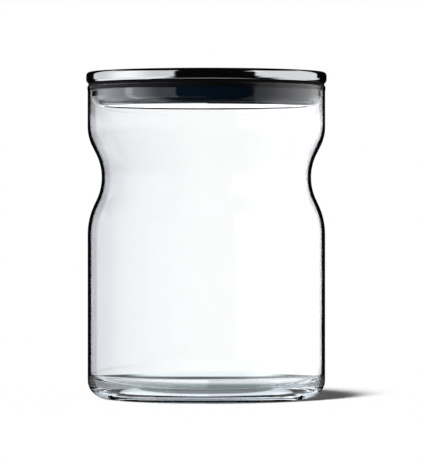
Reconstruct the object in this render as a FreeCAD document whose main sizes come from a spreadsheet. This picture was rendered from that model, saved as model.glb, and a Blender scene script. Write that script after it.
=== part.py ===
import FreeCAD, Part
from enum import IntEnum
import math
import os
import Sketcher

# Lidded glass canister: a blown glass jar drawn in to a waist, and a lift-off lid made of a
# pressed steel cap, a moulded plug that hangs in the neck and a soft sealing ring between them.
# +Z is up and the origin is the centre of the foot on the table. All lengths are millimetres.

# Driving dimensions: alias, value and what it measures.
DIMENSIONS = (
    ("body_diameter", 110.0, "outside of the straight glass wall"),
    ("glass_height", 144.15, "table to the top of the glass rim"),
    ("wall", 1.5, "blown wall, from the base up through the waist"),
    ("neck_wall", 1.1, "blown wall above the waist, where the glass thins"),
    ("base_thickness", 4.5, "table to the inner floor"),
    ("heel_radius", 8.0, "outer rounding from the wall to the foot"),
    ("floor_corner", 7.0, "inner rounding from the wall to the floor"),
    ("foot_width", 6.0, "flat ring that the jar stands on"),
    ("punt_depth", 1.2, "hollow pushed up under the base"),
    ("waist_height", 101.9, "table to the narrowest place"),
    ("waist_diameter", 97.0, "outside of the glass at the waist"),
    ("waist_arc", 24.0, "hollow curve of the waist, outside"),
    ("upper_shoulder", 20.0, "round curve above the waist, outside"),
    ("lower_shoulder", 32.0, "round curve below the waist, outside"),
    ("upper_flank", 4.3, "straight run between the waist and the upper shoulder"),
    ("lower_flank", 3.2, "straight run between the waist and the lower shoulder"),
    ("rim_band", 1.7, "height of the fire-polished band round the rim"),
    ("rim_bulge", 0.15, "how far that band stands out of the wall"),
    ("rim_slope", 0.4, "height over which the band runs out into the wall"),
    ("rim_land", 0.15, "flat left on top of the rounded rim"),
    ("cap_overhang", 0.7, "cap beyond the glass wall, on the radius"),
    ("cap_height", 5.45, "underside of the rolled lip to the top"),
    ("cap_sheet", 0.6, "steel sheet"),
    ("cap_top_edge", 1.8, "outer rounding at the top edge"),
    ("cap_lip_edge", 2.0, "outer rounding where the lip is rolled under"),
    ("plug_gap", 1.0, "air between the plug and the neck, on the radius"),
    ("plug_depth", 9.55, "rim to the underside of the plug"),
    ("plug_corner", 4.6, "outer rounding at the underside"),
    ("plug_wall", 2.0, "moulded wall"),
    ("plug_inner_corner", 2.5, "rounding inside the moulded cup"),
    ("dish_depth", 0.35, "shallow dish in the underside"),
    ("dish_rim", 0.7, "flat ring round that dish"),
    ("groove_depth", 1.2, "seat of the sealing ring, cut into the plug"),
    ("lip_clearance", 0.2, "air between the rolled lip and the plug"),
    ("rib_count", 6, "stiffening ribs inside the plug"),
    ("rib_thickness", 1.4, "one rib"),
    ("rib_root", 0.8, "how far a rib runs into the moulded wall"),
    ("seal_flange", 1.0, "flange of the sealing ring, between the cap and the rim"),
    ("seal_cover", 0.1, "flange beyond the flat of the rim"),
    ("seal_skirt", 1.6, "collar hanging down inside the rim"),
    ("seal_gap", 0.15, "air between the collar and the bore"),
    ("seal_fit", 0.1, "air between the ring and its groove"),
    ("seal_round", 0.7, "rounding at the lower edge of the collar"),
)

SHEET_NAME = "Sizes"

FULL_TURN = 360
TOUCH = 1e-6

# Sizes that several pieces of the lid share, from the bore of the neck inwards and upwards.
BORE_RADIUS = "body_diameter / 2 - neck_wall"
PLUG_RADIUS = f"{BORE_RADIUS} - plug_gap"
NECK_RADIUS = f"{PLUG_RADIUS} - groove_depth"
CAP_RADIUS = "body_diameter / 2 + cap_overhang"
FLANGE_RADIUS = f"{CAP_RADIUS} - max( cap_top_edge ; cap_lip_edge )"
LIP_HEIGHT = "plug_depth + seal_flange"
CROWN_HEIGHT = f"{LIP_HEIGHT} + cap_height - cap_sheet"


class Datum(IntEnum):
    """How a sketch numbers its own origin and upright axis."""

    ORIGIN = -1
    UP_AXIS = -2


class Place(IntEnum):
    """How a sketch numbers the places on a line or an arc."""

    START = 1
    END = 2
    CENTRE = 3


def fill_sheet(doc):
    """Write the driving dimensions into the sheet and return them by name."""
    sheet = doc.addObject("Spreadsheet::Sheet", SHEET_NAME)
    for row, (alias, value, meaning) in enumerate(DIMENSIONS, start=1):
        sheet.set(f"A{row}", meaning)
        sheet.set(f"B{row}", str(value))
        sheet.setAlias(f"B{row}", alias)
    doc.recompute()
    return {alias: value for alias, value, _ in DIMENSIONS}


def formula(words):
    """Turn aliases into references to the sheet: 'wall / 2' gives 'Sizes.wall / 2'."""
    names = {alias for alias, _, _ in DIMENSIONS}
    return " ".join(f"{SHEET_NAME}.{word}" if word in names else word for word in words.split())


def new_body(doc, label):
    """Make an empty body whose label is the name of the piece."""
    body = doc.addObject("PartDesign::Body", label)
    body.Label = label
    return body


def half_section(body, name):
    """Make a sketch in the body's upright plane: x is the radius and y is the height."""
    sketch = body.newObject("Sketcher::SketchObject", name)
    plane = next(item for item in body.Origin.OriginFeatures if item.Role == "XZ_Plane")
    sketch.AttachmentSupport = [(plane, "")]
    sketch.MapMode = "FlatFace"
    return sketch


def draw(sketch, path):
    """Draw a closed outline and tie its corners.

    Each item of path is (x, y) for a straight run to that point, or (x, y, cx, cy) for an arc to it
    about (cx, cy), and the outline runs back from the last item to the first. Runs that meet
    smoothly are made tangent, and corners on the upright axis stay on it.
    Returns the runs as (geometry, entry end, exit end), the first being the run to path[1].
    """
    points = [FreeCAD.Vector(item[0], item[1], 0) for item in path]
    normal = FreeCAD.Vector(0, 0, 1)
    runs = []
    headings = []
    for here, there, item in zip(points, points[1:] + points[:1], path[1:] + path[:1]):
        if len(item) == 2:
            runs.append((sketch.addGeometry(Part.LineSegment(here, there)), Place.START, Place.END))
            headings.append((there - here, there - here))
            continue
        centre = FreeCAD.Vector(item[2], item[3], 0)
        spokes = (here - centre, there - centre)
        turn = 1 if spokes[0].cross(spokes[1]).z > 0 else -1
        first, last = [math.atan2(spoke.y, spoke.x) for spoke in spokes][::turn]
        if last < first:
            last += 2 * math.pi
        circle = Part.Circle(centre, normal, spokes[0].Length)
        ends = (Place.START, Place.END)[::turn]
        runs.append((sketch.addGeometry(Part.ArcOfCircle(circle, first, last)), *ends))
        headings.append(tuple(normal.cross(spoke) * turn for spoke in spokes))
    for index, (geometry, _, leave) in enumerate(runs):
        following = (index + 1) % len(runs)
        bent = headings[index][1].getAngle(headings[following][0]) > TOUCH
        joint = "Coincident" if bent else "Tangent"
        sketch.addConstraint(Sketcher.Constraint(joint, geometry, leave, *runs[following][:2]))
        if points[following].Length < TOUCH:
            base = (Datum.ORIGIN, Place.START)
            sketch.addConstraint(Sketcher.Constraint("Coincident", geometry, leave, *base))
        elif abs(points[following].x) < TOUCH:
            sketch.addConstraint(Sketcher.Constraint("PointOnObject", geometry, leave, Datum.UP_AXIS))
    return runs


def hold(sketch, direction, *runs):
    """Keep straight runs level ("Horizontal") or upright ("Vertical")."""
    for run in runs:
        sketch.addConstraint(Sketcher.Constraint(direction, run[0]))


def fix(sketch, kind, words, run, place=None):
    """Tie a size of the sketch to the sheet, starting from the value that was drawn.

    kind is "Radius" or "Distance" for the run itself, and "DistanceX" or "DistanceY" for where a
    point of it lies, by default the point where the run is entered.
    """
    geometry, enter, _ = run
    if kind in ("Radius", "Distance"):
        drawn = sketch.Geometry[geometry]
        target = (geometry,)
        value = drawn.Radius if kind == "Radius" else drawn.length()
    else:
        target = (geometry, place or enter)
        point = sketch.getPoint(*target)
        value = point.x if kind == "DistanceX" else point.y
    index = sketch.addConstraint(Sketcher.Constraint(kind, *target, value))
    sketch.setExpression(f"Constraints[{index}]", formula(words))


def spin(body, sketch, name, kind):
    """Turn a half section about the upright axis, adding ("Revolution") or cutting ("Groove")."""
    before = body.Tip.Shape.Volume if kind == "Groove" else 0
    feature = body.newObject(f"PartDesign::{kind}", name)
    feature.Profile = sketch
    feature.ReferenceAxis = (sketch, ["V_Axis"])
    feature.Angle = FULL_TURN
    body.Document.recompute()
    if kind == "Groove" and feature.Shape.Volume >= before:
        raise ValueError(f"{name} removed nothing")


def round_edges(body, name, rings, words):
    """Fillet the circular edges at the given (radius, height) places."""
    body.Document.recompute()
    base = body.Tip
    names = []
    for radius, height in rings:
        for index, edge in enumerate(base.Shape.Edges, start=1):
            if edge.Degenerated or not isinstance(edge.Curve, Part.Circle):
                continue
            curve = edge.Curve
            if abs(curve.Radius - radius) < TOUCH and abs(curve.Center.z - height) < TOUCH:
                names.append(f"Edge{index}")
                break
        else:
            raise ValueError(f"{name}: no edge at radius {radius}, height {height}")
    fillet = body.newObject("PartDesign::Fillet", name)
    fillet.Base = (base, names)
    fillet.setExpression("Radius", formula(words))
    body.Document.recompute()


def flank(depth, arcs, run):
    """Slope angle where two opposite arcs, a straight run between them, step in by depth."""
    return math.acos((arcs - depth) / math.hypot(arcs, run)) - math.atan2(run, arcs)


def wall_path(size, body_inset, neck_inset):
    """The waisted side of the glass from its lower straight wall up to the neck.

    With no insets it is the outside. With the two walls as insets it is the bore: up to the waist
    its arcs share their centres with the outside, and above that the wall thins towards the neck.
    Returns the items of a drawn path.
    """
    waist = size["waist_diameter"] / 2 - body_inset
    hollow = size["waist_arc"] + body_inset
    middle = size["waist_height"]
    sides = []
    for side, sign, inset in (("lower", -1, body_inset), ("upper", 1, neck_inset)):
        radius = size["body_diameter"] / 2 - inset
        shoulder = size[f"{side}_shoulder"] - inset
        run = size[f"{side}_flank"]
        slope = flank(radius - waist, shoulder + hollow, run)
        inner = (waist + hollow * (1 - math.cos(slope)), middle + sign * hollow * math.sin(slope))
        outer = (inner[0] + run * math.sin(slope), inner[1] + sign * run * math.cos(slope))
        end = (radius, outer[1] + sign * shoulder * math.sin(slope))
        sides.append((inner, outer, end, (radius - shoulder, end[1])))
    lower, upper = sides
    return [
        lower[2],
        (*lower[1], *lower[3]),
        lower[0],
        (*upper[0], waist + hollow, middle),
        upper[1],
        (*upper[2], *upper[3]),
    ]


def fix_wall(sketch, body_inset, neck_inset, runs):
    """Dimension the waisted side: wall, arc, flank, waist, flank, arc and neck, inset from outside."""
    wall, low_arc, low_flank, waist, high_flank, high_arc, neck = runs
    hold(sketch, "Vertical", wall, neck)
    fix(sketch, "DistanceX", f"body_diameter / 2 - {body_inset}", wall)
    fix(sketch, "DistanceX", f"body_diameter / 2 - {neck_inset}", neck)
    fix(sketch, "Radius", f"lower_shoulder - {body_inset}", low_arc)
    fix(sketch, "Radius", f"upper_shoulder - {neck_inset}", high_arc)
    fix(sketch, "Radius", f"waist_arc + {body_inset}", waist)
    fix(sketch, "DistanceX", "waist_diameter / 2 + waist_arc", waist, Place.CENTRE)
    fix(sketch, "DistanceY", "waist_height", waist, Place.CENTRE)
    fix(sketch, "Distance", "lower_flank", low_flank)
    fix(sketch, "Distance", "upper_flank", high_flank)


def make_glass(doc, size):
    """The blown jar: waisted wall, thick rounded base with a punt, and a fire-polished rim."""
    body = new_body(doc, "glass_body")
    radius = size["body_diameter"] / 2
    height = size["glass_height"]
    bore = radius - size["wall"]
    neck = radius - size["neck_wall"]
    floor = size["base_thickness"]
    band_foot = height - size["rim_band"]
    band_radius = radius + size["rim_bulge"]

    outside = half_section(body, "outside_section")
    bottom, *side, slope, band, top, _ = draw(outside, [
        (0, 0),
        (radius, 0),
        *wall_path(size, 0, 0),
        (radius, band_foot - size["rim_slope"]),
        (band_radius, band_foot),
        (band_radius, height),
        (0, height),
    ])
    fix_wall(outside, "0", "0", side)
    hold(outside, "Horizontal", bottom, top)
    hold(outside, "Vertical", band)
    fix(outside, "DistanceY", "glass_height - rim_band - rim_slope", slope)
    fix(outside, "DistanceY", "glass_height - rim_band", band)
    fix(outside, "DistanceX", "body_diameter / 2 + rim_bulge", band)
    fix(outside, "DistanceY", "glass_height", top)
    spin(body, outside, "outside", "Revolution")

    inside = half_section(body, "bore_section")
    bottom, *side, mouth, _ = draw(inside, [
        (0, floor),
        (bore, floor),
        *wall_path(size, size["wall"], size["neck_wall"]),
        (neck, height),
        (0, height),
    ])
    fix_wall(inside, "wall", "neck_wall", side)
    hold(inside, "Horizontal", bottom, mouth)
    fix(inside, "DistanceY", "base_thickness", bottom)
    fix(inside, "DistanceY", "glass_height", mouth)
    spin(body, inside, "bore", "Groove")

    under = half_section(body, "punt_section")
    rise = size["punt_depth"]
    foot = radius - size["heel_radius"] - size["foot_width"]
    dome = (foot ** 2 + rise ** 2) / (2 * rise)
    ground, hollow, _ = draw(under, [(0, 0), (foot, 0), (0, rise, 0, rise - dome)])
    hold(under, "Horizontal", ground)
    fix(under, "DistanceX", "body_diameter / 2 - heel_radius - foot_width", ground, Place.END)
    fix(under, "DistanceY", "punt_depth", hollow, hollow[2])
    under.addConstraint(Sketcher.Constraint("PointOnObject", hollow[0], Place.CENTRE, Datum.UP_AXIS))
    spin(body, under, "punt", "Groove")

    round_edges(body, "heel", [(radius, 0)], "heel_radius")
    round_edges(body, "floor_rounding", [(bore, floor)], "floor_corner")
    rim_round = "( neck_wall + rim_bulge - rim_land ) / 2"
    round_edges(body, "rim_rounding", [(neck, height), (band_radius, height)], rim_round)
    return body


def lid_heights(size):
    """Heights above the plug's underside: rim of the glass, rolled lip and inside of the cap."""
    lip = size["plug_depth"] + size["seal_flange"]
    return size["plug_depth"], lip, lip + size["cap_height"] - size["cap_sheet"]


def lid_radii(size):
    """Radii that the lid's pieces share: bore of the neck, plug, ring groove and cap."""
    half = size["body_diameter"] / 2
    bore = half - size["neck_wall"]
    plug = bore - size["plug_gap"]
    return bore, plug, plug - size["groove_depth"], half + size["cap_overhang"]


def hang_in_neck(body):
    """Place a piece of the lid: its own frame starts at the centre of the plug's underside."""
    body.setExpression("Placement.Base.z", formula("glass_height - plug_depth"))


def make_cap(doc, size):
    """The pressed cap: one sheet with a flat top, a rounded skirt and a lip rolled under."""
    body = new_body(doc, "lid_cap")
    _, lip, crown = lid_heights(size)
    _, _, neck, radius = lid_radii(size)
    sheet = size["cap_sheet"]
    top = crown + sheet
    hole = neck + size["lip_clearance"]
    edge_centre = (radius - size["cap_top_edge"], top - size["cap_top_edge"])
    roll_centre = (radius - size["cap_lip_edge"], lip + size["cap_lip_edge"])

    section = half_section(body, "sheet_section")
    runs = draw(section, [
        (0, top),
        (edge_centre[0], top),
        (radius, edge_centre[1], *edge_centre),
        (radius, roll_centre[1]),
        (roll_centre[0], lip, *roll_centre),
        (hole, lip),
        (hole, lip + sheet),
        (roll_centre[0], lip + sheet),
        (radius - sheet, roll_centre[1], *roll_centre),
        (radius - sheet, edge_centre[1]),
        (edge_centre[0], crown, *edge_centre),
        (0, crown),
    ])
    face, edge, skirt, roll = runs[:4]
    lip_under, lip_end, lip_over = runs[4:7]
    inner_roll, inner_skirt, inner_edge, ceiling = runs[7:11]
    hold(section, "Horizontal", face, lip_under, lip_over, ceiling)
    hold(section, "Vertical", skirt, lip_end, inner_skirt)
    fix(section, "DistanceY", f"{CROWN_HEIGHT} + cap_sheet", face)
    fix(section, "DistanceY", CROWN_HEIGHT, ceiling)
    fix(section, "DistanceX", CAP_RADIUS, skirt)
    fix(section, "DistanceX", f"{CAP_RADIUS} - cap_sheet", inner_skirt)
    fix(section, "DistanceY", LIP_HEIGHT, lip_end)
    fix(section, "DistanceX", f"{NECK_RADIUS} + lip_clearance", lip_end)
    fix(section, "DistanceY", f"{LIP_HEIGHT} + cap_sheet", lip_over)
    fix(section, "Radius", "cap_top_edge", edge)
    fix(section, "Radius", "cap_lip_edge", roll)
    fix(section, "Radius", "cap_top_edge - cap_sheet", inner_edge)
    fix(section, "Radius", "cap_lip_edge - cap_sheet", inner_roll)
    spin(body, section, "sheet", "Revolution")
    hang_in_neck(body)
    return body


def make_plug(doc, size):
    """The moulded plug: a ribbed, dished cup whose flange is trapped in the cap, with a ring groove."""
    body = new_body(doc, "lid_plug")
    rim, lip, crown = lid_heights(size)
    _, radius, neck, cap = lid_radii(size)
    flange = cap - max(size["cap_top_edge"], size["cap_lip_edge"])
    ledge = rim - size["seal_skirt"] - size["seal_fit"]
    seat = lip + size["cap_sheet"]

    outside = half_section(body, "moulding_section")
    under, side, step, groove, shelf, edge, top, _ = draw(outside, [
        (0, 0),
        (radius, 0),
        (radius, ledge),
        (neck, ledge),
        (neck, seat),
        (flange, seat),
        (flange, crown),
        (0, crown),
    ])
    hold(outside, "Horizontal", under, step, shelf, top)
    hold(outside, "Vertical", side, groove, edge)
    fix(outside, "DistanceX", PLUG_RADIUS, side)
    fix(outside, "DistanceY", "plug_depth - seal_skirt - seal_fit", step)
    fix(outside, "DistanceX", NECK_RADIUS, groove)
    fix(outside, "DistanceY", f"{LIP_HEIGHT} + cap_sheet", shelf)
    fix(outside, "DistanceX", FLANGE_RADIUS, edge)
    fix(outside, "DistanceY", CROWN_HEIGHT, top)
    spin(body, outside, "moulding", "Revolution")

    dish_radius = radius - size["plug_corner"] - size["dish_rim"]
    dish = half_section(body, "dish_section")
    flat, edge, roof, _ = draw(dish, [
        (0, 0),
        (dish_radius, 0),
        (dish_radius, size["dish_depth"]),
        (0, size["dish_depth"]),
    ])
    hold(dish, "Horizontal", flat, roof)
    hold(dish, "Vertical", edge)
    fix(dish, "DistanceX", f"{PLUG_RADIUS} - plug_corner - dish_rim", edge)
    fix(dish, "DistanceY", "dish_depth", roof)
    spin(body, dish, "dish", "Groove")

    hollow_radius = neck - size["plug_wall"]
    inside = half_section(body, "hollow_section")
    draw_post(inside, hollow_radius, size["plug_wall"], crown, f"{NECK_RADIUS} - plug_wall", "plug_wall")
    spin(body, inside, "hollow", "Groove")
    round_edges(body, "underside_rounding", [(radius, 0)], "plug_corner")
    round_edges(body, "hollow_rounding", [(hollow_radius, size["plug_wall"])], "plug_inner_corner")

    root = size["rib_root"]
    rib_section = half_section(body, "rib_section")
    draw_post(
        rib_section,
        hollow_radius + root,
        size["plug_wall"] - root,
        crown,
        f"{NECK_RADIUS} - plug_wall + rib_root",
        "plug_wall - rib_root",
    )
    rib = body.newObject("PartDesign::Pad", "rib")
    rib.Profile = rib_section
    rib.SideType = "Symmetric"
    rib.setExpression("Length", formula("rib_thickness"))
    doc.recompute()
    ribs = body.newObject("PartDesign::PolarPattern", "ribs")
    ribs.Originals = [rib]
    ribs.Axis = (rib_section, ["V_Axis"])
    ribs.Angle = FULL_TURN
    ribs.setExpression("Occurrences", formula("rib_count"))
    body.Tip = ribs
    hang_in_neck(body)
    return body


def draw_post(sketch, radius, foot, top, radius_words, foot_words):
    """Draw a rectangle on the axis, from foot up to the inside of the cap and out to radius."""
    bottom, side, ceiling, _ = draw(sketch, [(0, foot), (radius, foot), (radius, top), (0, top)])
    hold(sketch, "Horizontal", bottom, ceiling)
    hold(sketch, "Vertical", side)
    fix(sketch, "DistanceY", foot_words, side)
    fix(sketch, "DistanceX", radius_words, side)
    fix(sketch, "DistanceY", CROWN_HEIGHT, ceiling)


def make_seal(doc, size):
    """The sealing ring: a flange between the cap and the rim, and a collar inside the bore."""
    body = new_body(doc, "seal_ring")
    rim, lip, _ = lid_heights(size)
    bore, _, neck, _ = lid_radii(size)
    inner = neck + size["seal_fit"]
    collar = bore - size["seal_gap"]
    flange = bore + (size["neck_wall"] + size["rim_bulge"] + size["rim_land"]) / 2 + size["seal_cover"]
    hem = rim - size["seal_skirt"]

    section = half_section(body, "ring_section")
    low, outer, tread, edge, over, back = draw(section, [
        (inner, hem),
        (collar, hem),
        (collar, rim),
        (flange, rim),
        (flange, lip),
        (inner, lip),
    ])
    hold(section, "Horizontal", low, tread, over)
    hold(section, "Vertical", outer, edge, back)
    fix(section, "DistanceX", f"{NECK_RADIUS} + seal_fit", low)
    fix(section, "DistanceY", "plug_depth - seal_skirt", low)
    fix(section, "DistanceX", f"{BORE_RADIUS} - seal_gap", outer)
    fix(section, "DistanceY", "plug_depth", tread)
    flange_words = f"{BORE_RADIUS} + ( neck_wall + rim_bulge + rim_land ) / 2 + seal_cover"
    fix(section, "DistanceX", flange_words, edge)
    fix(section, "DistanceY", LIP_HEIGHT, over)
    spin(body, section, "ring", "Revolution")
    round_edges(body, "collar_rounding", [(collar, hem)], "seal_round")
    hang_in_neck(body)
    return body


def check(doc, pieces):
    """Stop if any object failed to rebuild, a sketch is loose or a piece is not one sound solid."""
    for item in doc.Objects:
        if {"Invalid", "Error"} & set(item.State):
            raise ValueError(f"{item.Name} failed: {item.State}")
        if item.TypeId == "Sketcher::SketchObject" and not item.FullyConstrained:
            raise ValueError(f"{item.Name} is not fully constrained")
    for piece in pieces:
        shape = piece.Shape
        if shape.isNull() or not shape.isValid() or len(shape.Solids) != 1:
            raise ValueError(f"{piece.Label} is not one sound solid")


def main():
    doc = FreeCAD.newDocument("canister")
    size = fill_sheet(doc)
    pieces = [make(doc, size) for make in (make_glass, make_cap, make_plug, make_seal)]
    doc.recompute()
    check(doc, pieces)
    os.makedirs("parts", exist_ok=True)
    for piece in pieces:
        piece.Shape.exportStep(f"parts/{piece.Label}.step")
        box = piece.Shape.BoundBox
        print(f"{piece.Label}: {piece.Shape.Volume:.0f} mm3, z {box.ZMin:.2f} to {box.ZMax:.2f}")


main()
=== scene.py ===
"""Looks of the lidded glass canister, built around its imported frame.

The jar is one blown piece of clear glass, drawn in to a waist. The lid is a pressed steel cap over
a black moulded plug that hangs in the neck, with a soft sealing ring between the cap and the rim.
"""

from __future__ import annotations

import logging
import math
from dataclasses import dataclass
from enum import Enum
from typing import Any

import bmesh
import bpy
from mathutils import Matrix, Vector

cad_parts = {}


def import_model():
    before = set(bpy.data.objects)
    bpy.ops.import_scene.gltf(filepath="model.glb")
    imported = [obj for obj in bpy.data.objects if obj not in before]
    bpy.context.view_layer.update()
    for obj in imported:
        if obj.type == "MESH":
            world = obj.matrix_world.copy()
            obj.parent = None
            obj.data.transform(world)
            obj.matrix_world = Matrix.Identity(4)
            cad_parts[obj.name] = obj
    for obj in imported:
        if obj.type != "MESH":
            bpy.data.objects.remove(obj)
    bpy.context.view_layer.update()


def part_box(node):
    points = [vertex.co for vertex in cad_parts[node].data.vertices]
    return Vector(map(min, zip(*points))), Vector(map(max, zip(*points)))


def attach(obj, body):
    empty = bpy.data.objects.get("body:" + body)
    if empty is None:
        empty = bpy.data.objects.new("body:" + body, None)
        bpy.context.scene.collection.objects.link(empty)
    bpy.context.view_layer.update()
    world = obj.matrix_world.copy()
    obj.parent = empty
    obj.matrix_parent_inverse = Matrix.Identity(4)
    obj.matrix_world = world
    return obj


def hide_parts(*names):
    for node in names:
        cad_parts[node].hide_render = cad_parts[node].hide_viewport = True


log = logging.getLogger("canister")

MM = 0.001
TURN_STEPS = 256
CHORD_ERROR_MM = 0.004
LEAST_ARC_STEPS = 4
SHARP_EDGE_DEG = 35.0
ON_AXIS_MM = 0.001

# A camera with no turn looks straight down, and with this much about X it looks level.
LEVEL_DEG = 90.0

# Light Path counts whole bounces, so each of these tests lies halfway between two counts.
ONE_OR_MORE = 0.5
THREE_OR_MORE = 2.5

# A Mix node's colour sockets share their names with its other sockets, so they go by number.
MIX_FACTOR, MIX_FROM, MIX_TO, MIX_COLOUR = 0, 6, 7, 2

# Angles just past straight behind, down and up, and a fade of next to nothing, for cards with no edge there.
BEHIND, DOWN, UP = 181.0, -91.0, 91.0
HARD = 0.1

Spans = tuple[float, float, float, float]


class Body(Enum):
    """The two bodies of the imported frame."""

    JAR = "jar"
    LID = "lid"


class Node(Enum):
    """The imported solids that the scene's pieces stand for."""

    GLASS = "glass_body"
    CAP = "lid_cap"
    PLUG = "lid_plug"
    SEAL = "seal_ring"


class Slot(Enum):
    """The record's material slots."""

    GLASS = "clear_glass"
    STEEL = "polished_steel"
    MOULDING = "black_moulding"
    SILICONE = "black_silicone"


def linear(hex_colour: str) -> tuple[float, float, float, float]:
    """Turn an sRGB hex colour into linear light.

    Args:
        hex_colour: Six hex digits after a hash sign.

    Returns:
        Red, green, blue and an opaque alpha.
    """
    levels = [int(hex_colour[at:at + 2], 16) / 255 for at in (1, 3, 5)]
    # The sRGB curve: a short straight foot, then a power.
    lit = [v / 12.92 if v <= 0.04045 else ((v + 0.055) / 1.055) ** 2.4 for v in levels]
    return (*lit, 1.0)


def add_node(
    tree: bpy.types.NodeTree, kind: str, inputs: dict[str | int, Any] | None = None, **settings: Any
) -> bpy.types.Node:
    """Add a shader node with its settings, plain values and links.

    Args:
        tree: The node tree that gets the node.
        kind: The node's type name, without its common prefix.
        inputs: A plain value or another node's output for each input, by name or number.
        **settings: The node's own properties.

    Returns:
        The new node.
    """
    node = tree.nodes.new(f"ShaderNode{kind}")
    for name, value in settings.items():
        setattr(node, name, value)
    for key, value in (inputs or {}).items():
        if isinstance(value, bpy.types.NodeSocket):
            tree.links.new(value, node.inputs[key])
        else:
            node.inputs[key].default_value = value
    return node


def new_surface(name: str) -> tuple[bpy.types.Material, bpy.types.NodeTree]:
    """Make an empty material.

    Args:
        name: The material's name.

    Returns:
        The material and its node tree.
    """
    material = bpy.data.materials.new(name)
    material.use_nodes = True
    material.node_tree.nodes.clear()
    return material, material.node_tree


@dataclass(frozen=True)
class BlownGlass:
    """Soda-lime glass, blown and fire-polished.

    The skin is sharp and clear, so the edges draw themselves by refraction. Blowing leaves slow
    swells in it that bend what lies behind by a hair. Shelves wear the foot a trace duller, and the
    thick glass there shows its own cold tint.
    """

    name: str = "soda_lime_glass_blown"
    tint: str = "#fdfefe"
    foot_tint: str = "#f1fafc"
    ior: float = 1.52
    worn_roughness: float = 0.015
    worn_below_mm: float = 9.0
    swell_mm: float = 22.0
    swell_height_mm: float = 0.012
    swell_detail: float = 1.0
    wall_clarity: float = 1.0
    heel_clarity: float = 0.05
    heel_inner_mm: float = 43.0
    heel_outer_mm: float = 48.0
    heel_low_mm: float = 6.0
    heel_high_mm: float = 15.5

    def make(self) -> bpy.types.Material:
        """Build the material.

        Returns:
            The new material.
        """
        material, tree = new_surface(self.name)
        place = add_node(tree, "TexCoord")
        at = add_node(tree, "SeparateXYZ", {"Vector": place.outputs["Object"]})
        foot = add_node(tree, "Math", {
            0: at.outputs["Z"],
            1: self.worn_below_mm * MM,
        }, operation="LESS_THAN")
        worn = add_node(tree, "Math", {
            0: foot.outputs["Value"],
            1: self.worn_roughness,
        }, operation="MULTIPLY")
        depth = add_node(tree, "Mix", {
            MIX_FACTOR: foot.outputs["Value"],
            MIX_FROM: linear(self.tint),
            MIX_TO: linear(self.foot_tint),
        }, data_type="RGBA")
        swell = add_node(tree, "TexNoise", {
            "Vector": place.outputs["Object"],
            "Scale": 1 / (self.swell_mm * MM),
            "Detail": self.swell_detail,
        })
        skin = add_node(tree, "Bump", {
            "Height": swell.outputs["Fac"],
            "Distance": self.swell_height_mm * MM,
        })
        glass = add_node(tree, "BsdfPrincipled", {
            "Base Color": depth.outputs[MIX_COLOUR],
            "Roughness": worn.outputs["Value"],
            "IOR": self.ior,
            "Transmission Weight": 1.0,
            "Normal": skin.outputs["Normal"],
        })
        clear = add_node(tree, "BsdfTransparent")
        cast = add_node(tree, "MixShader", {
            "Fac": self.shadow_share(tree, at),
            1: glass.outputs["BSDF"],
            2: clear.outputs["BSDF"],
        })
        add_node(tree, "OutputMaterial", {"Surface": cast.outputs["Shader"]})
        return material

    def shadow_share(self, tree: bpy.types.NodeTree, at: bpy.types.Node) -> bpy.types.NodeSocket:
        """Find how much lamp light the glass lets straight through.

        The thin wall hardly casts a shadow. The thick heel throws the light aside, so it does.

        Args:
            tree: The glass's node tree.
            at: The node that splits the place on the piece.

        Returns:
            The share for shadow rays, and 0 for all others.
        """
        flat = add_node(tree, "CombineXYZ", {"X": at.outputs["X"], "Y": at.outputs["Y"]})
        out = add_node(tree, "VectorMath", {0: flat.outputs["Vector"]}, operation="LENGTH")
        far_out = add_node(tree, "MapRange", {
            "Value": out.outputs["Value"],
            "From Min": self.heel_inner_mm * MM,
            "From Max": self.heel_outer_mm * MM,
        }, interpolation_type="SMOOTHSTEP")
        low_down = add_node(tree, "MapRange", {
            "Value": at.outputs["Z"],
            "From Min": self.heel_high_mm * MM,
            "From Max": self.heel_low_mm * MM,
        }, interpolation_type="SMOOTHSTEP")
        heel = add_node(tree, "Math", {
            0: far_out.outputs["Result"],
            1: low_down.outputs["Result"],
        }, operation="MULTIPLY")
        clarity = add_node(tree, "MapRange", {
            "Value": heel.outputs["Value"],
            "To Min": self.wall_clarity,
            "To Max": self.heel_clarity,
        })
        path = add_node(tree, "LightPath")
        share = add_node(tree, "Math", {
            0: path.outputs["Is Shadow Ray"],
            1: clarity.outputs["Result"],
        }, operation="MULTIPLY")
        return share.outputs["Value"]


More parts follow.
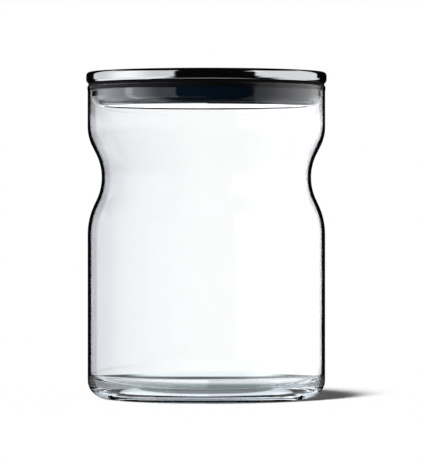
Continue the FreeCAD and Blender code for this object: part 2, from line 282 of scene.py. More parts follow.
@dataclass(frozen=True)
class PolishedSteel:
    """Stainless sheet, pressed and then mirror-polished.

    It gives back the studio as crisp light and dark panels. Buffing leaves a haze that comes and
    goes, and pressing a faint waviness that bends the panels' edges.
    """

    name: str = "stainless_steel_mirror_polished"
    colour: str = "#d3d5d8"
    buffed_roughness: float = 0.03
    hazy_roughness: float = 0.09
    haze_mm: float = 6.0
    haze_detail: float = 4.0
    wave_mm: float = 14.0
    wave_height_mm: float = 0.012
    wave_detail: float = 1.0

    def make(self) -> bpy.types.Material:
        """Build the material.

        Returns:
            The new material.
        """
        material, tree = new_surface(self.name)
        place = add_node(tree, "TexCoord")
        haze = add_node(tree, "TexNoise", {
            "Vector": place.outputs["Object"],
            "Scale": 1 / (self.haze_mm * MM),
            "Detail": self.haze_detail,
        })
        buffing = add_node(tree, "MapRange", {
            "Value": haze.outputs["Fac"],
            "To Min": self.buffed_roughness,
            "To Max": self.hazy_roughness,
        })
        wave = add_node(tree, "TexNoise", {
            "Vector": place.outputs["Object"],
            "Scale": 1 / (self.wave_mm * MM),
            "Detail": self.wave_detail,
        })
        skin = add_node(tree, "Bump", {
            "Height": wave.outputs["Fac"],
            "Distance": self.wave_height_mm * MM,
        })
        steel = add_node(tree, "BsdfPrincipled", {
            "Base Color": linear(self.colour),
            "Metallic": 1.0,
            "Roughness": buffing.outputs["Result"],
            "Normal": skin.outputs["Normal"],
        })
        add_node(tree, "OutputMaterial", {"Surface": steel.outputs["BSDF"]})
        return material


@dataclass(frozen=True)
class GlossyMoulding:
    """Black ABS, moulded in a polished tool.

    It is nearly black with a smooth gloss, so it shows as soft reflections of the studio. The tool's
    polish leaves the gloss a little uneven.
    """

    name: str = "black_abs_moulded_glossy"
    colour: str = "#030910"
    ior: float = 1.54
    bright_roughness: float = 0.01
    dull_roughness: float = 0.03
    patch_mm: float = 12.0
    patch_detail: float = 3.0

    def make(self) -> bpy.types.Material:
        """Build the material.

        Returns:
            The new material.
        """
        material, tree = new_surface(self.name)
        place = add_node(tree, "TexCoord")
        patch = add_node(tree, "TexNoise", {
            "Vector": place.outputs["Object"],
            "Scale": 1 / (self.patch_mm * MM),
            "Detail": self.patch_detail,
        })
        gloss = add_node(tree, "MapRange", {
            "Value": patch.outputs["Fac"],
            "To Min": self.bright_roughness,
            "To Max": self.dull_roughness,
        })
        moulding = add_node(tree, "BsdfPrincipled", {
            "Base Color": linear(self.colour),
            "Roughness": gloss.outputs["Result"],
            "IOR": self.ior,
        })
        add_node(tree, "OutputMaterial", {"Surface": moulding.outputs["BSDF"]})
        return material


@dataclass(frozen=True)
class SatinSilicone:
    """Black silicone rubber, moulded in a blasted tool.

    Its fine grain spreads every reflection, so it reads as a soft dark line. The grain is drawn
    coarser than the real one, which is too fine to show.
    """

    name: str = "black_silicone_moulded_satin"
    colour: str = "#030304"
    ior: float = 1.41
    sheen: float = 0.15
    roughness: float = 0.7
    grain_mm: float = 0.4
    grain_height_mm: float = 0.02
    grain_detail: float = 2.0

    def make(self) -> bpy.types.Material:
        """Build the material.

        Returns:
            The new material.
        """
        material, tree = new_surface(self.name)
        place = add_node(tree, "TexCoord")
        grain = add_node(tree, "TexNoise", {
            "Vector": place.outputs["Object"],
            "Scale": 1 / (self.grain_mm * MM),
            "Detail": self.grain_detail,
        })
        skin = add_node(tree, "Bump", {
            "Height": grain.outputs["Fac"],
            "Distance": self.grain_height_mm * MM,
        })
        silicone = add_node(tree, "BsdfPrincipled", {
            "Base Color": linear(self.colour),
            "Roughness": self.roughness,
            "IOR": self.ior,
            "Specular IOR Level": self.sheen,
            "Normal": skin.outputs["Normal"],
        })
        add_node(tree, "OutputMaterial", {"Surface": silicone.outputs["BSDF"]})
        return material


@dataclass(frozen=True)
class Corner:
    """A corner of a turned section, in millimetres: from the axis, above the table, and its rounding."""

    radius: float
    height: float
    rounding: float = 0.0

    @property
    def point(self) -> Vector:
        """The sharp corner itself."""
        return Vector((self.radius, self.height))


@dataclass(frozen=True)
class TurnedSection:
    """The half section of a turned piece: straight runs between corners, some of them rounded.

    A section that starts and ends on the axis makes a solid piece. A ring closes on itself.
    """

    corners: tuple[Corner, ...]
    ring: bool = False

    def outline(self) -> list[Vector]:
        """Walk the section, with an arc for each rounded corner.

        Returns:
            Points of radius and height, in millimetres.
        """
        points: list[Vector] = []
        for index, corner in enumerate(self.corners):
            if corner.rounding == 0:
                points.append(corner.point)
                continue
            before = self.corners[index - 1].point
            after = self.corners[(index + 1) % len(self.corners)].point
            points += self.arc(corner, before, after)
        return points

    @staticmethod
    def arc(corner: Corner, before: Vector, after: Vector) -> list[Vector]:
        """Round one corner off.

        Args:
            corner: The corner and its rounding.
            before: The corner that comes before it.
            after: The corner that comes after it.

        Returns:
            Points along the arc, from one tangent point to the other.
        """
        back = (before - corner.point).normalized()
        on = (after - corner.point).normalized()
        opening = back.angle(on)
        centre = corner.point + (back + on).normalized() * corner.rounding / math.sin(opening / 2)
        start = corner.point + back * corner.rounding / math.tan(opening / 2) - centre
        turn = math.copysign(math.pi - opening, on.cross(back))
        step = 2 * math.acos(1 - CHORD_ERROR_MM / corner.rounding)
        steps = max(LEAST_ARC_STEPS, math.ceil(abs(turn) / step))
        return [centre + Matrix.Rotation(turn * k / steps, 2) @ start for k in range(steps + 1)]

    def spin(self, name: str) -> bpy.types.Object:
        """Turn the section about the upright axis.

        Args:
            name: The new piece's name.

        Returns:
            The piece, linked into the scene, in metres.
        """
        shell = bmesh.new()
        rows: list[list[bmesh.types.BMVert]] = []
        for point in self.outline():
            spots = 1 if point.x < ON_AXIS_MM else TURN_STEPS
            if rows and spots == len(rows[-1]) == 1:
                continue
            angles = [2 * math.pi * k / spots for k in range(spots)]
            rows.append([
                shell.verts.new(Vector((point.x * math.cos(a), point.x * math.sin(a), point.y)) * MM)
                for a in angles
            ])
        above = rows[1:] + rows[:1] if self.ring else rows[1:]
        for low, high in zip(rows, above):
            for k in range(TURN_STEPS):
                face_corners = (low, k), (low, k + 1), (high, k + 1), (high, k)
                around = [row[at % len(row)] for row, at in face_corners]
                shell.faces.new(list(dict.fromkeys(around))).smooth = True
        bmesh.ops.recalc_face_normals(shell, faces=shell.faces[:])
        mesh = bpy.data.meshes.new(name)
        shell.to_mesh(mesh)
        shell.free()
        mesh.set_sharp_from_angle(angle=math.radians(SHARP_EDGE_DEG))
        piece = bpy.data.objects.new(name, mesh)
        bpy.context.scene.collection.objects.link(piece)
        shading = piece.modifiers.new("even_shading", "WEIGHTED_NORMAL")
        shading.keep_sharp = True
        return piece


def settle(
    piece: bpy.types.Object, finish: bpy.types.Material, body: Body, node: Node
) -> bpy.types.Object:
    """Dress a piece and tie it to the frame.

    Args:
        piece: The new piece.
        finish: The material of its whole surface.
        body: The body that it rides on.
        node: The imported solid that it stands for.

    Returns:
        The same piece.
    """
    piece.data.materials.append(finish)
    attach(piece, body.value)
    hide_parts(node.value)
    return piece


@dataclass
class GlassJar:
    """The blown jar, in millimetres: straight lower body, waist, neck, rounded rim and thick base."""

    rim_radius: float
    height: float
    wall: float = 1.5
    neck_wall: float = 1.1
    base: float = 4.5
    heel: float = 8.0
    floor_corner: float = 7.0
    foot_width: float = 6.0
    punt: float = 1.2
    waist_height: float = 101.9
    waist_radius: float = 48.5
    waist_arc: float = 24.0
    lower_shoulder: float = 32.0
    upper_shoulder: float = 20.0
    lower_flank: float = 3.2
    upper_flank: float = 4.3
    rim_band: float = 1.7
    rim_bulge: float = 0.15
    rim_slope: float = 0.4
    rim_land: float = 0.15
    band_softness: float = 1.0

    @property
    def radius(self) -> float:
        """The outside of the straight wall."""
        return self.rim_radius - self.rim_bulge

    @property
    def bore(self) -> float:
        """The inside of the straight wall."""
        return self.radius - self.wall

    @property
    def mouth(self) -> float:
        """The inside of the neck."""
        return self.radius - self.neck_wall

    @staticmethod
    def slope(depth: float, arcs: float, run: float) -> float:
        """Find how far a flank leans where two opposite arcs step the wall in.

        Args:
            depth: How far the wall steps in.
            arcs: The two arcs' radii together.
            run: The straight flank between them.

        Returns:
            The lean from upright, in radians.
        """
        return math.acos((arcs - depth) / math.hypot(arcs, run)) - math.atan2(run, arcs)

    def side(self, body_inset: float, neck_inset: float) -> list[Corner]:
        """Draw the waisted side from the lower body up to the neck.

        Args:
            body_inset: 0 for the outside, or the wall for the inside.
            neck_inset: The same above the waist, where the wall is thinner.

        Returns:
            The lower shoulder, the waist and the upper shoulder.
        """
        waist = self.waist_radius - body_inset
        hollow = self.waist_arc + body_inset
        low_out, high_out = self.radius - body_inset, self.radius - neck_inset
        low_arc, high_arc = self.lower_shoulder - body_inset, self.upper_shoulder - neck_inset
        low_lean = self.slope(low_out - waist, low_arc + hollow, self.lower_flank)
        high_lean = self.slope(high_out - waist, high_arc + hollow, self.upper_flank)
        low_reach = (low_arc + hollow) * math.sin(low_lean) + self.lower_flank * math.cos(low_lean)
        high_reach = (high_arc + hollow) * math.sin(high_lean) + self.upper_flank * math.cos(high_lean)
        low = self.waist_height - low_reach + low_arc * math.tan(low_lean / 2)
        high = self.waist_height + high_reach - high_arc * math.tan(high_lean / 2)
        tilt = (high_lean - low_lean) / 2
        out = hollow / math.cos((high_lean + low_lean) / 2)
        return [
            Corner(low_out, low, low_arc),
            Corner(waist + hollow - out * math.cos(tilt), self.waist_height + out * math.sin(tilt), hollow),
            Corner(high_out, high, high_arc),
        ]

    def section(self) -> TurnedSection:
        """Draw the whole wall.

        Returns:
            The section: punt, foot, outside, rim, inside and inner floor.
        """
        foot = self.radius - self.heel - self.foot_width
        dome = (foot ** 2 + self.punt ** 2) / (2 * self.punt)
        dome_corner = dome * math.tan(math.asin(foot / dome) / 2)
        band = self.height - self.rim_band
        rim_round = (self.neck_wall + self.rim_bulge - self.rim_land) / 2
        return TurnedSection((
            Corner(0, self.punt),
            Corner(dome_corner, self.punt, dome),
            Corner(foot, 0),
            Corner(self.radius, 0, self.heel),
            *self.side(0, 0),
            Corner(self.radius, band - self.rim_slope, self.band_softness),
            Corner(self.rim_radius, band, self.band_softness),
            Corner(self.rim_radius, self.height, rim_round),
            Corner(self.mouth, self.height, rim_round),
            *reversed(self.side(self.wall, self.neck_wall)),
            Corner(self.bore, self.base, self.floor_corner),
            Corner(0, self.base),
        ))

    def build(self) -> list[bpy.types.Object]:
        """Make the jar's mesh and dress it."""
        jar = self.section().spin("blown_jar")
        return [settle(jar, BlownGlass().make(), Body.JAR, Node.GLASS)]


@dataclass
class LiftOffLid:
    """The lid, in millimetres: steel cap, moulded plug trapped in it, and sealing ring."""

    cap_radius: float
    top: float
    lip: float
    underside: float
    rim: float
    bore: float
    ring_radius: float
    sheet: float = 0.6
    top_edge: float = 1.8
    lip_edge: float = 2.0
    plug_gap: float = 1.0
    plug_corner: float = 4.6
    plug_wall: float = 2.0
    plug_inner_corner: float = 2.5
    dish_depth: float = 0.35
    dish_rim: float = 0.7
    groove: float = 1.2
    lip_clearance: float = 0.2
    seal_skirt: float = 1.6
    seal_gap: float = 0.15
    seal_fit: float = 0.1
    seal_round: float = 0.7
    contact: float = 0.02

    @property
    def plug_radius(self) -> float:
        """The plug's wall, inside the neck of the jar."""
        return self.bore - self.plug_gap

    @property
    def neck(self) -> float:
        """The bottom of the plug's groove, where the sealing ring sits."""
        return self.plug_radius - self.groove

    @property
    def crown(self) -> float:
        """The inside of the cap's flat top."""
        return self.top - self.sheet

    def cap(self) -> bpy.types.Object:
        """Turn the pressed cap.

        Returns:
            The cap: flat top, rounded skirt and a lip rolled under.
        """
        hole = self.neck + self.lip_clearance
        inner = self.cap_radius - self.sheet
        return TurnedSection((
            Corner(0, self.top),
            Corner(self.cap_radius, self.top, self.top_edge),
            Corner(self.cap_radius, self.lip, self.lip_edge),
            Corner(hole, self.lip),
            Corner(hole, self.lip + self.sheet),
            Corner(inner, self.lip + self.sheet, self.lip_edge - self.sheet),
            Corner(inner, self.crown, self.top_edge - self.sheet),
            Corner(0, self.crown),
        )).spin("steel_cap")

    def plug(self) -> bpy.types.Object:
        """Turn the moulded plug.

        Returns:
            The plug: dished underside, ring groove, and a flange inside the cap.
        """
        ledge = self.rim - self.seal_skirt - self.seal_fit
        seat = self.lip + self.sheet + self.contact
        flange = self.cap_radius - max(self.top_edge, self.lip_edge)
        roof = self.crown - self.contact
        hollow = self.neck - self.plug_wall
        floor = self.underside + self.plug_wall
        dish = self.plug_radius - self.plug_corner - self.dish_rim
        return TurnedSection((
            Corner(0, self.underside + self.dish_depth),
            Corner(dish, self.underside + self.dish_depth),
            Corner(dish, self.underside),
            Corner(self.plug_radius, self.underside, self.plug_corner),
            Corner(self.plug_radius, ledge),
            Corner(self.neck, ledge),
            Corner(self.neck, seat),
            Corner(flange, seat),
            Corner(flange, roof),
            Corner(hollow, roof),
            Corner(hollow, floor, self.plug_inner_corner),
            Corner(0, floor),
        )).spin("moulded_plug")

    def seal(self) -> bpy.types.Object:
        """Turn the sealing ring.

        Returns:
            The ring: a flange between cap and rim, and a collar inside the bore.
        """
        inner = self.neck + self.seal_fit
        collar = self.bore - self.seal_gap
        hem = self.rim - self.seal_skirt
        tread = self.rim + self.contact
        over = self.lip - self.contact
        return TurnedSection((
            Corner(inner, hem),
            Corner(collar, hem, self.seal_round),
            Corner(collar, tread),
            Corner(self.ring_radius, tread),
            Corner(self.ring_radius, over),
            Corner(inner, over),
        ), ring=True).spin("sealing_ring")

    def build(self) -> list[bpy.types.Object]:
        """Make the lid's meshes and dress them.

        Returns:
            The cap, the plug and the sealing ring.
        """
        return [
            settle(self.cap(), PolishedSteel().make(), Body.LID, Node.CAP),
            settle(self.plug(), GlossyMoulding().make(), Body.LID, Node.PLUG),
            settle(self.seal(), SatinSilicone().make(), Body.LID, Node.SEAL),
        ]


class Seen(Enum):
    """The reflections that a card can show in, told apart by how the ray came to leave the object."""

    LID = "straight off the lid or the worn foot, neither of them quite sharp"
    SKIN = "straight off the sharp outside of the glass"
    DEEP = "from behind the front wall, out through sharp glass"
    BASE = "from inside the thick base, out through its worn foot"


@dataclass(frozen=True)
class Card:
    """A soft white card round the object, for one kind of reflection.

    Its edges are in degrees: bearings from the front, right positive, and heights above level. A
    fade is the width of a soft edge, inside the card.
    """

    seen: Seen
    left: float
    right: float
    bottom: float
    top: float
    level: float
    left_fade: float = 3.0
    right_fade: float = 3.0
    end_fade: float = 1.0

    @property
    def bearings(self) -> Spans:
        """Where the card starts, is full, starts to fade and ends, from left to right."""
        return self.left, self.left + self.left_fade, self.right - self.right_fade, self.right

    @property
    def elevations(self) -> Spans:
        """Where the card starts, is full, starts to fade and ends, from the bottom up."""
        return self.bottom, self.bottom + self.end_fade, self.top - self.end_fade, self.top


@dataclass
class Studio:
    """The set, in millimetres and degrees: pale floor, white surround, soft key light and camera."""

    distance: float = 1525.0
    eye_height: float = 92.0
    eye_offset: float = 1.9
    pitch: float = 0.57
    frame_height: float = 214.6
    sensor: float = 36.0
    nearest: float = 50.0
    furthest: float = 50000.0
    floor_radius: float = 650.0
    floor_drop: float = 0.1
    floor_albedo: str = "#fdfdfd"
    floor_glow: float = 0.02
    floor_through_radius: float = 60.0
    key_bearing: float = -38.0
    key_elevation: float = 19.5
    key_spread: float = 14.0
    key_floor_level: float = 0.92
    ambient: float = 0.08
    camera_white: float = 1.0
    backdrop_left: float = 0.79
    backdrop_right: float = 1.17
    backdrop_turn_from: float = -7.5
    backdrop_turn_to: float = -0.3
    backdrop_spread: float = 40.0
    neutral: str = "#ffffff"
    cool: str = "#f1f2f8"
    dark: float = 0.003
    # Between these heights a ray out through the worn foot sees the backdrop, and beyond them near dark.
    foot_view: Spans = (-19.5, -18.0, 20.0, 21.5)
    foot_dark: float = 0.12
    bounces: int = 32
    # No path is dropped at random before this many, which keeps the plug free of speckle.
    sure_bounces: int = 8
    glass_bounces: int = 24
    mirror_bounces: int = 12
    cards: tuple[Card, ...] = (
        # The left panel on the cap's edge, its brighter middle, and its foot on the lower rounding.
        Card(Seen.LID, -138, -29, -20, 40, 0.9),
        Card(Seen.LID, -118, -48, -20, 40, 0.5, left_fade=32, right_fade=32),
        Card(Seen.LID, -150, -34, -48, -19, 1.2, right_fade=6),
        Card(Seen.LID, -150, -50, -62, -47, 1.2, right_fade=10),
        # The right panel, its foot, and a small card high at its near end.
        Card(Seen.LID, 46, 133, -2, 40, 1.0),
        Card(Seen.LID, 50, 140, -33, -1, 1.0, left_fade=8),
        Card(Seen.LID, 85, 150, -53, -32, 1.0, left_fade=12),
        Card(Seen.LID, 36, 60, 9, 24, 0.7, left_fade=6, right_fade=10, end_fade=3),
        # A weak light from below, for the underside of the lip.
        Card(Seen.LID, -BEHIND, BEHIND, DOWN, -63, 0.25, left_fade=HARD, right_fade=HARD, end_fade=4),
        # The outside of the glass: the whole right flank, and the left shoulder from below.
        Card(Seen.SKIN, 46, 150, DOWN, UP, 0.4, right_fade=10),
        Card(Seen.SKIN, 46, 146, DOWN, UP, 1.0, left_fade=60, right_fade=20),
        Card(Seen.SKIN, -158, -50, -75, -6, 0.9, left_fade=10, right_fade=60, end_fade=16),
        # The left panel on the plug, its brighter middle, and a narrow streak in that.
        Card(Seen.DEEP, -140, -29, -42, 10, 1.3, end_fade=4),
        Card(Seen.DEEP, -150, -45, -42, UP, 3.6, left_fade=35, right_fade=35),
        Card(Seen.DEEP, -91, -76, -0.2, UP, 3.6, left_fade=6, right_fade=6, end_fade=0.8),
        Card(Seen.DEEP, -91, -76, -42, -3.5, 3.6, left_fade=6, right_fade=6),
        # The same panel further down, where the plug's lower edge is rounded.
        Card(Seen.DEEP, -150, -45, -62, -41, 3.0, left_fade=35, right_fade=35),
        Card(Seen.DEEP, -160, -80, -80, -61, 3.0, left_fade=20, right_fade=20),
        Card(Seen.DEEP, -BEHIND, -140, -52, -15.9, 2.5, left_fade=HARD, right_fade=12, end_fade=8),
        # The right panel on the plug. Half of it fades upwards, where the back of the shoulder sees it.
        Card(Seen.DEEP, 46, 152, -62, 10, 0.4, end_fade=4),
        Card(Seen.DEEP, 46, 152, -62, 12, 0.55, left_fade=60, end_fade=10),
        Card(Seen.DEEP, 46, 152, -62, UP, 0.45, left_fade=60),
        # Straight behind and just below level, where the plug's underside looks.
        Card(Seen.DEEP, 175, BEHIND, -1.9, -1.3, 1.3, left_fade=1, right_fade=HARD, end_fade=0.1),
        Card(Seen.DEEP, -BEHIND, -175, -1.9, -1.3, 1.3, left_fade=HARD, right_fade=1, end_fade=0.1),
        # Behind, with a gap just above level.
        Card(Seen.DEEP, 110, BEHIND, -16, 1.5, 1.0, left_fade=45, right_fade=HARD, end_fade=0.15),
        Card(Seen.DEEP, -BEHIND, -110, -16, 1.5, 1.6, left_fade=HARD, right_fade=30, end_fade=0.15),
        Card(Seen.DEEP, 110, BEHIND, 2.3, UP, 1.0, left_fade=45, right_fade=HARD, end_fade=0.3),
        Card(Seen.DEEP, -BEHIND, -110, 2.3, UP, 1.6, left_fade=HARD, right_fade=30, end_fade=0.3),
        # The thick base: light from all round, less of it from below and more from behind.
        Card(Seen.BASE, -BEHIND, BEHIND, DOWN, UP, 0.25, left_fade=HARD, right_fade=HARD),
        Card(Seen.BASE, -BEHIND, BEHIND, -45, UP, 0.25, left_fade=HARD, right_fade=HARD, end_fade=8),
        Card(Seen.BASE, 110, BEHIND, -45, UP, 0.5, left_fade=25, right_fade=HARD, end_fade=8),
        Card(Seen.BASE, -BEHIND, -110, -45, UP, 0.5, left_fade=HARD, right_fade=25, end_fade=8),
    )

    def camera(self) -> None:
        """Stand the camera in front, a little above the middle, tilted down by its pitch."""
        lens = bpy.data.cameras.new("studio_camera")
        lens.sensor_width = self.sensor
        lens.lens = self.sensor * self.distance / self.frame_height
        lens.clip_start = self.nearest * MM
        lens.clip_end = self.furthest * MM
        eye = bpy.data.objects.new("studio_camera", lens)
        eye.location = Vector((self.eye_offset, -self.distance, self.eye_height)) * MM
        eye.rotation_euler = (math.radians(LEVEL_DEG - self.pitch), 0, 0)
        bpy.context.scene.collection.objects.link(eye)
        bpy.context.scene.camera = eye

    def key(self) -> None:
        """Hang the key light: wide and soft, from the left front."""
        bearing, elevation = math.radians(self.key_bearing), math.radians(self.key_elevation)
        lamp = bpy.data.lights.new("soft_key", "SUN")
        lamp.angle = math.radians(self.key_spread)
        lamp.energy = self.key_floor_level * math.pi / math.sin(elevation)
        place = bpy.data.objects.new("soft_key", lamp)
        towards = Vector((
            math.cos(elevation) * math.sin(bearing),
            -math.cos(elevation) * math.cos(bearing),
            math.sin(elevation),
        ))
        place.rotation_mode = "QUATERNION"
        place.rotation_quaternion = (-towards).to_track_quat("-Z", "Y")
        place.visible_glossy = False
        place.visible_transmission = False
        bpy.context.scene.collection.objects.link(place)

    def floor(self) -> None:
        """Lay the pale floor.

        Reflections pass it by, and so do rays through the glass, except near the foot.
        """
        shell = bmesh.new()
        bmesh.ops.create_circle(shell, cap_ends=True, segments=TURN_STEPS, radius=self.floor_radius * MM)
        mesh = bpy.data.meshes.new("pale_floor")
        shell.to_mesh(mesh)
        shell.free()
        ground = bpy.data.objects.new("pale_floor", mesh)
        ground.location.z = -self.floor_drop * MM
        bpy.context.scene.collection.objects.link(ground)
        material, tree = new_surface("matt_white_board")
        path = add_node(tree, "LightPath")
        place = add_node(tree, "TexCoord")
        board = add_node(tree, "BsdfDiffuse", {"Color": linear(self.floor_albedo)})
        glow = add_node(tree, "Emission", {"Strength": self.floor_glow})
        lit = add_node(tree, "AddShader", {0: board.outputs["BSDF"], 1: glow.outputs["Emission"]})
        gone = add_node(tree, "BsdfTransparent")
        bounced = add_node(tree, "Math", {
            0: path.outputs["Glossy Depth"],
            1: ONE_OR_MORE,
        }, operation="GREATER_THAN")
        out = add_node(tree, "VectorMath", {0: place.outputs["Object"]}, operation="LENGTH")
        far = add_node(tree, "Math", {
            0: out.outputs["Value"],
            1: self.floor_through_radius * MM,
        }, operation="GREATER_THAN")
        behind = add_node(tree, "Math", {
            0: far.outputs["Value"],
            1: path.outputs["Transmission Depth"],
        }, operation="MULTIPLY")
        passed = add_node(tree, "Math", {
            0: bounced.outputs["Value"],
            1: behind.outputs["Value"],
        }, operation="MAXIMUM", use_clamp=True)
        seen = add_node(tree, "MixShader", {
            "Fac": passed.outputs["Value"],
            1: lit.outputs["Shader"],
            2: gone.outputs["BSDF"],
        })
        add_node(tree, "OutputMaterial", {"Surface": seen.outputs["Shader"]})
        mesh.materials.append(material)

    @staticmethod
    def window(
        tree: bpy.types.NodeTree, value: bpy.types.NodeSocket, spans: Spans
    ) -> bpy.types.NodeSocket:
        """Make a soft-edged window over an angle.

        Args:
            tree: The world's node tree.
            value: The angle, in radians.
            spans: Where the window opens, is open, starts to close and is closed, in degrees.

        Returns:
            1 inside the window and 0 outside.
        """
        shut, opened, closing, closed = (math.radians(angle) for angle in spans)
        opens = add_node(tree, "MapRange", {
            "Value": value,
            "From Min": shut,
            "From Max": opened,
        }, interpolation_type="SMOOTHSTEP")
        closes = add_node(tree, "MapRange", {
            "Value": value,
            "From Min": closed,
            "From Max": closing,
        }, interpolation_type="SMOOTHSTEP")
        both = add_node(tree, "Math", {
            0: opens.outputs["Result"],
            1: closes.outputs["Result"],
        }, operation="MULTIPLY")
        return both.outputs["Value"]

    @staticmethod
    def kinds(tree: bpy.types.NodeTree, path: bpy.types.Node) -> dict[Seen, bpy.types.NodeSocket]:
        """Tell the kinds of reflected ray apart.

        Args:
            tree: The world's node tree.
            path: The node that gives the ray's past.

        Returns:
            1 or 0 for each kind.
        """
        passes = path.outputs["Transmission Depth"]
        sharp = path.outputs["Is Singular Ray"]
        outside = add_node(tree, "Math", {0: passes, 1: ONE_OR_MORE}, operation="LESS_THAN")
        skin = add_node(tree, "Math", {0: outside.outputs["Value"], 1: sharp}, operation="MULTIPLY")
        lid = add_node(tree, "Math", {
            0: outside.outputs["Value"],
            1: skin.outputs["Value"],
        }, operation="SUBTRACT")
        through = add_node(tree, "Math", {0: passes, 1: THREE_OR_MORE}, operation="GREATER_THAN")
        deep = add_node(tree, "Math", {0: through.outputs["Value"], 1: sharp}, operation="MULTIPLY")
        elsewhere = add_node(tree, "Math", {0: outside.outputs["Value"], 1: sharp}, operation="MAXIMUM")
        base = add_node(tree, "Math", {0: 1.0, 1: elsewhere.outputs["Value"]}, operation="SUBTRACT")
        return {
            Seen.LID: lid.outputs["Value"],
            Seen.SKIN: skin.outputs["Value"],
            Seen.DEEP: deep.outputs["Value"],
            Seen.BASE: base.outputs["Value"],
        }

    def reflected(
        self, tree: bpy.types.NodeTree, way: bpy.types.Node, elevation: bpy.types.Node, path: bpy.types.Node
    ) -> bpy.types.NodeSocket:
        """Set the cards round the object.

        Args:
            tree: The world's node tree.
            way: The node that splits the ray's direction.
            elevation: The node that gives the ray's angle above level.
            path: The node that gives the ray's past.

        Returns:
            How bright the surround is for a reflected ray.
        """
        front = add_node(tree, "Math", {0: way.outputs["Y"], 1: -1.0}, operation="MULTIPLY")
        bearing = add_node(tree, "Math", {
            0: way.outputs["X"],
            1: front.outputs["Value"],
        }, operation="ARCTAN2")
        kinds = self.kinds(tree, path)
        light: float | bpy.types.NodeSocket = self.dark
        for card in self.cards:
            across = self.window(tree, bearing.outputs["Value"], card.bearings)
            up = self.window(tree, elevation.outputs["Value"], card.elevations)
            shape = add_node(tree, "Math", {0: across, 1: up}, operation="MULTIPLY")
            glow = add_node(tree, "Math", {0: kinds[card.seen], 1: card.level}, operation="MULTIPLY")
            light = add_node(tree, "Math", {
                0: shape.outputs["Value"],
                1: glow.outputs["Value"],
                2: light,
            }, operation="MULTIPLY_ADD").outputs["Value"]
        return light

    def backdrop(
        self, tree: bpy.types.NodeTree, way: bpy.types.Node
    ) -> tuple[bpy.types.NodeSocket, bpy.types.NodeSocket]:
        """Shade the backdrop behind the object, which is brighter on the right.

        Args:
            tree: The world's node tree.
            way: The node that splits the ray's direction.

        Returns:
            How far it has turned to its left side, from 0 to 1, and how bright it is.
        """
        across = add_node(tree, "MapRange", {
            "Value": way.outputs["X"],
            "From Min": math.sin(math.radians(self.backdrop_turn_to)),
            "From Max": math.sin(math.radians(self.backdrop_turn_from)),
        })
        ahead = add_node(tree, "Math", {
            0: way.outputs["Y"],
            1: math.cos(math.radians(self.backdrop_spread)),
        }, operation="GREATER_THAN")
        shade = add_node(tree, "Math", {
            0: across.outputs["Result"],
            1: ahead.outputs["Value"],
        }, operation="MULTIPLY")
        level = add_node(tree, "Mix", {
            "Factor": shade.outputs["Value"],
            "A": self.backdrop_right,
            "B": self.backdrop_left,
        })
        return shade.outputs["Value"], level.outputs["Result"]

    def surround(self) -> None:
        """Light the set from all round.

        The camera sees plain white. Rays straight through the glass see the backdrop, or near dark
        where they leave the worn foot steeply. Reflections see the cards, and the dark between the
        cards edges the glass. Matt surfaces get a weak, even light.
        """
        world = bpy.data.worlds.new("white_studio")
        bpy.context.scene.world = world
        world.use_nodes = True
        world.cycles.sampling_method = "NONE"
        tree = world.node_tree
        tree.nodes.clear()
        path = add_node(tree, "LightPath")
        place = add_node(tree, "TexCoord")
        way = add_node(tree, "SeparateXYZ", {"Vector": place.outputs["Generated"]})
        elevation = add_node(tree, "Math", {0: way.outputs["Z"]}, operation="ARCSINE")
        shade, backdrop = self.backdrop(tree, way)
        unshaded = add_node(tree, "Math", {
            0: self.window(tree, elevation.outputs["Value"], self.foot_view),
            1: path.outputs["Is Singular Ray"],
        }, operation="MAXIMUM")
        straight = add_node(tree, "Mix", {
            "Factor": unshaded.outputs["Value"],
            "A": self.foot_dark,
            "B": backdrop,
        })
        bounced = add_node(tree, "Math", {
            0: path.outputs["Glossy Depth"],
            1: ONE_OR_MORE,
        }, operation="GREATER_THAN")
        clear = add_node(tree, "Mix", {
            "Factor": bounced.outputs["Value"],
            "A": straight.outputs["Result"],
            "B": self.reflected(tree, way, elevation, path),
        })
        from_piece = add_node(tree, "Math", {
            0: path.outputs["Is Transmission Ray"],
            1: path.outputs["Is Glossy Ray"],
        }, operation="MAXIMUM")
        not_matt = add_node(tree, "Math", {
            0: path.outputs["Diffuse Depth"],
            1: ONE_OR_MORE,
        }, operation="LESS_THAN")
        shown = add_node(tree, "Math", {
            0: from_piece.outputs["Value"],
            1: not_matt.outputs["Value"],
        }, operation="MULTIPLY")
        level = add_node(tree, "Mix", {
            "Factor": shown.outputs["Value"],
            "A": self.ambient,
            "B": clear.outputs["Result"],
        })
        white = add_node(tree, "Mix", {
            "Factor": path.outputs["Is Camera Ray"],
            "A": level.outputs["Result"],
            "B": self.camera_white,
        })
        inside = add_node(tree, "Math", {
            0: bounced.outputs["Value"],
            1: path.outputs["Transmission Depth"],
        }, operation="MULTIPLY", use_clamp=True)
        dimmed = add_node(tree, "Math", {0: inside.outputs["Value"], 1: shade}, operation="MAXIMUM")
        chill = add_node(tree, "Math", {
            0: dimmed.outputs["Value"],
            1: shown.outputs["Value"],
        }, operation="MULTIPLY")
        colour = add_node(tree, "Mix", {
            MIX_FACTOR: chill.outputs["Value"],
            MIX_FROM: linear(self.neutral),
            MIX_TO: linear(self.cool),
        }, data_type="RGBA")
        glow = add_node(tree, "Background", {
            "Color": colour.outputs[MIX_COLOUR],
            "Strength": white.outputs["Result"],
        })
        add_node(tree, "OutputWorld", {"Surface": glow.outputs["Background"]})

    def build(self) -> None:
        """Set up the floor, the light and the camera."""
        scene = bpy.context.scene
        scene.view_settings.view_transform = "Standard"
        scene.cycles.max_bounces = self.bounces
        scene.cycles.min_light_bounces = self.sure_bounces
        scene.cycles.transmission_bounces = self.glass_bounces
        scene.cycles.glossy_bounces = self.mirror_bounces
        scene.cycles.blur_glossy = 0.0
        self.floor()
        self.surround()
        self.key()
        self.camera()


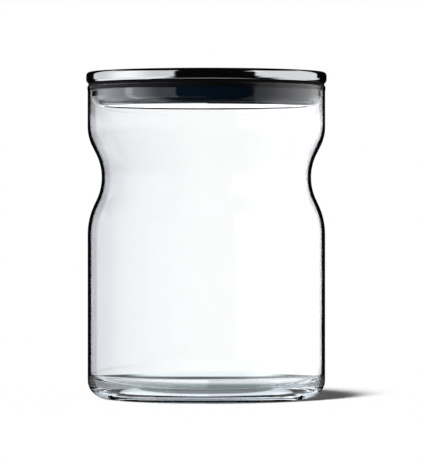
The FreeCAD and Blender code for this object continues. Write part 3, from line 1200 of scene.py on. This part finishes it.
def main() -> None:
    """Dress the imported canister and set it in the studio."""
    logging.basicConfig(level=logging.INFO, format="%(name)s: %(message)s")
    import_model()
    _, jar_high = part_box(Node.GLASS.value)
    cap_low, cap_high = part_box(Node.CAP.value)
    plug_low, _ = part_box(Node.PLUG.value)
    _, seal_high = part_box(Node.SEAL.value)
    jar = GlassJar(rim_radius=jar_high.x / MM, height=jar_high.z / MM)
    lid = LiftOffLid(
        cap_radius=cap_high.x / MM,
        top=cap_high.z / MM,
        lip=cap_low.z / MM,
        underside=plug_low.z / MM,
        rim=jar.height,
        bore=jar.mouth,
        ring_radius=seal_high.x / MM,
    )
    for piece in (*jar.build(), *lid.build()):
        finish = piece.data.materials[0]
        log.info("%s: %d faces, %s", piece.name, len(piece.data.polygons), finish.name)
    Studio().build()


if __name__ == "__main__":
    main()
